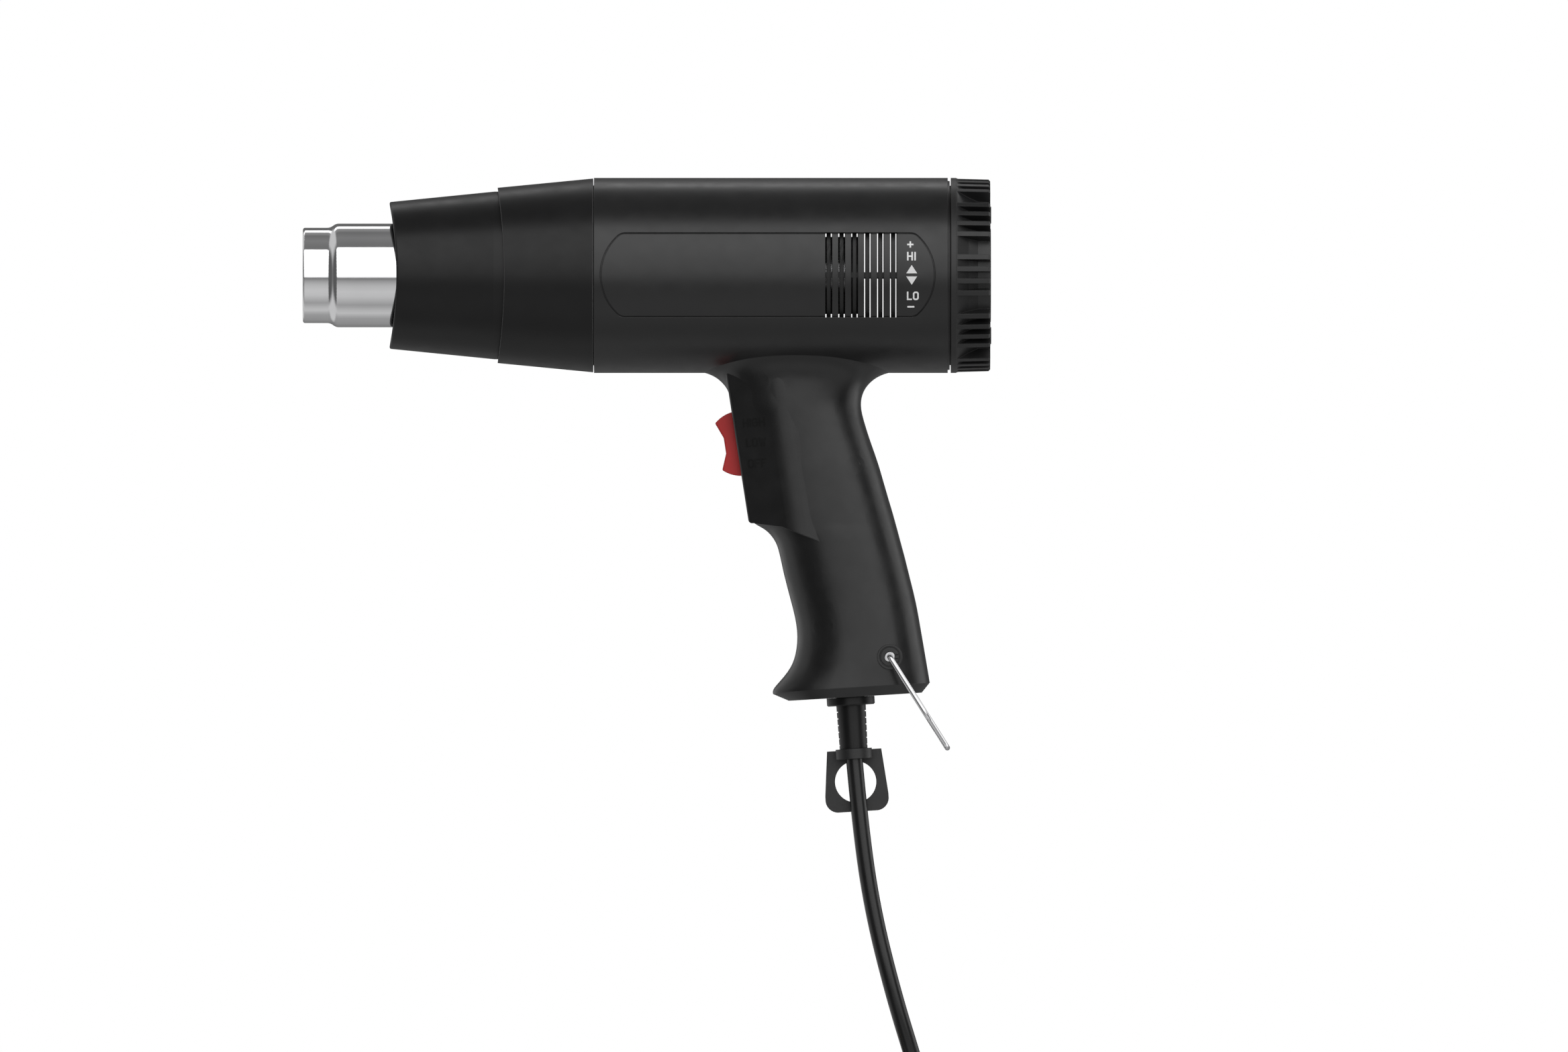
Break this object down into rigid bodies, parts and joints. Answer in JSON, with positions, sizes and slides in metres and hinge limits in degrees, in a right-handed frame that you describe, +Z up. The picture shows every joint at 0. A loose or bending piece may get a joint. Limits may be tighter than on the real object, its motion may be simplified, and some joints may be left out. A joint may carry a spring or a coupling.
{
  "type": "heat gun",
  "caption": "Hand-held electric heat gun: round barrel with a steel nozzle, pistol grip with a rocker switch, fluted rear dial, wire stand and mains cord.",
  "frame": {"origin": "middle of the pistol grip, where a hand or a holder takes it; the barrel's axis is 106 mm above it", "axes": "+X along the barrel towards its rear, so the nozzle points to -X; +Z up; +Y across the barrel, to the tool's right side"},
  "size_m": [0.2468, 0.14, 0.355],
  "materials": {
    "housing": "fine matt texture",
    "shroud": "satin",
    "dial": "fine matt texture",
    "pads": "matt",
    "rocker": "satin",
    "switch": "satin",
    "nozzle": "polished",
    "wire": "polished",
    "mica": "matt",
    "winding": "dull, heat-tinted",
    "steel": "plain",
    "sheet": "plain",
    "brass": "plain",
    "copper": "plain",
    "board": "satin",
    "component": "satin",
    "inner_plastic": "satin",
    "cord": "satin",
    "tab": "satin",
    "lead": "satin"
  },
  "bodies": {
    "gun": {"air_duct": "sheet", "capacitor": "component", "clamp_screws": "steel", "coil_tie": "tab", "control_board": "board", "cord_clamp": "inner_plastic", "cord_coil": "cord", "cord_tube": "cord", "finger_guard_left": "shroud", "finger_guard_right": "shroud", "hang_tab": "tab", "heat_sink": "sheet", "heater_board_flat": "mica", "heater_board_upright": "mica", "heater_flange": "steel", "heater_winding": "winding", "housing_left": "housing", "housing_right": "housing", "housing_screws": "steel", "inner_cord": "cord", "inner_leads": "lead", "mica_lining": "mica", "motor_bushes": "brass", "motor_can": "steel", "motor_end_cap": "component", "motor_magnets": "component", "motor_mount": "inner_plastic", "nozzle_tube": "nozzle", "plug_blades": "brass", "plug_body": "cord", "potentiometer": "component", "shroud_front": "shroud", "shroud_rear": "shroud", "stand_eyelets": "steel", "strain_relief": "cord", "switch_body": "switch", "switch_terminals": "brass", "thermal_cutout": "component", "triac": "component"},
    "dial": {"rear_dial": "dial", "dial_pads": "pads", "potentiometer_shaft": "steel"},
    "rocker": {"rocker": "rocker"},
    "stand": {"wire_stand": "wire"},
    "rotor": {"fan": "inner_plastic", "motor_shaft": "steel", "armature": "copper", "commutator": "copper"}
  },
  "joints": [
    {"name": "dial_turn", "type": "hinge", "parent": "gun", "child": "dial", "pos_m": [0.044, 0, 0.106], "axis": [-1, 0, 0], "range_deg": [0, 270]},
    {"name": "rocker_tilt", "type": "hinge", "parent": "gun", "child": "rocker", "pos_m": [-0.03762, 0, 0.04573], "axis": [0, 1, 0], "range_deg": [-12, 12]},
    {"name": "stand_swing", "type": "hinge", "parent": "gun", "child": "stand", "pos_m": [0.0158, 0, -0.0308], "axis": [0, -1, 0], "range_deg": [-27, 135]},
    {"name": "fan_spin", "type": "hinge", "parent": "gun", "child": "rotor", "pos_m": [-0.049, 0, 0.106], "axis": [1, 0, 0], "continuous": true}
  ]
}
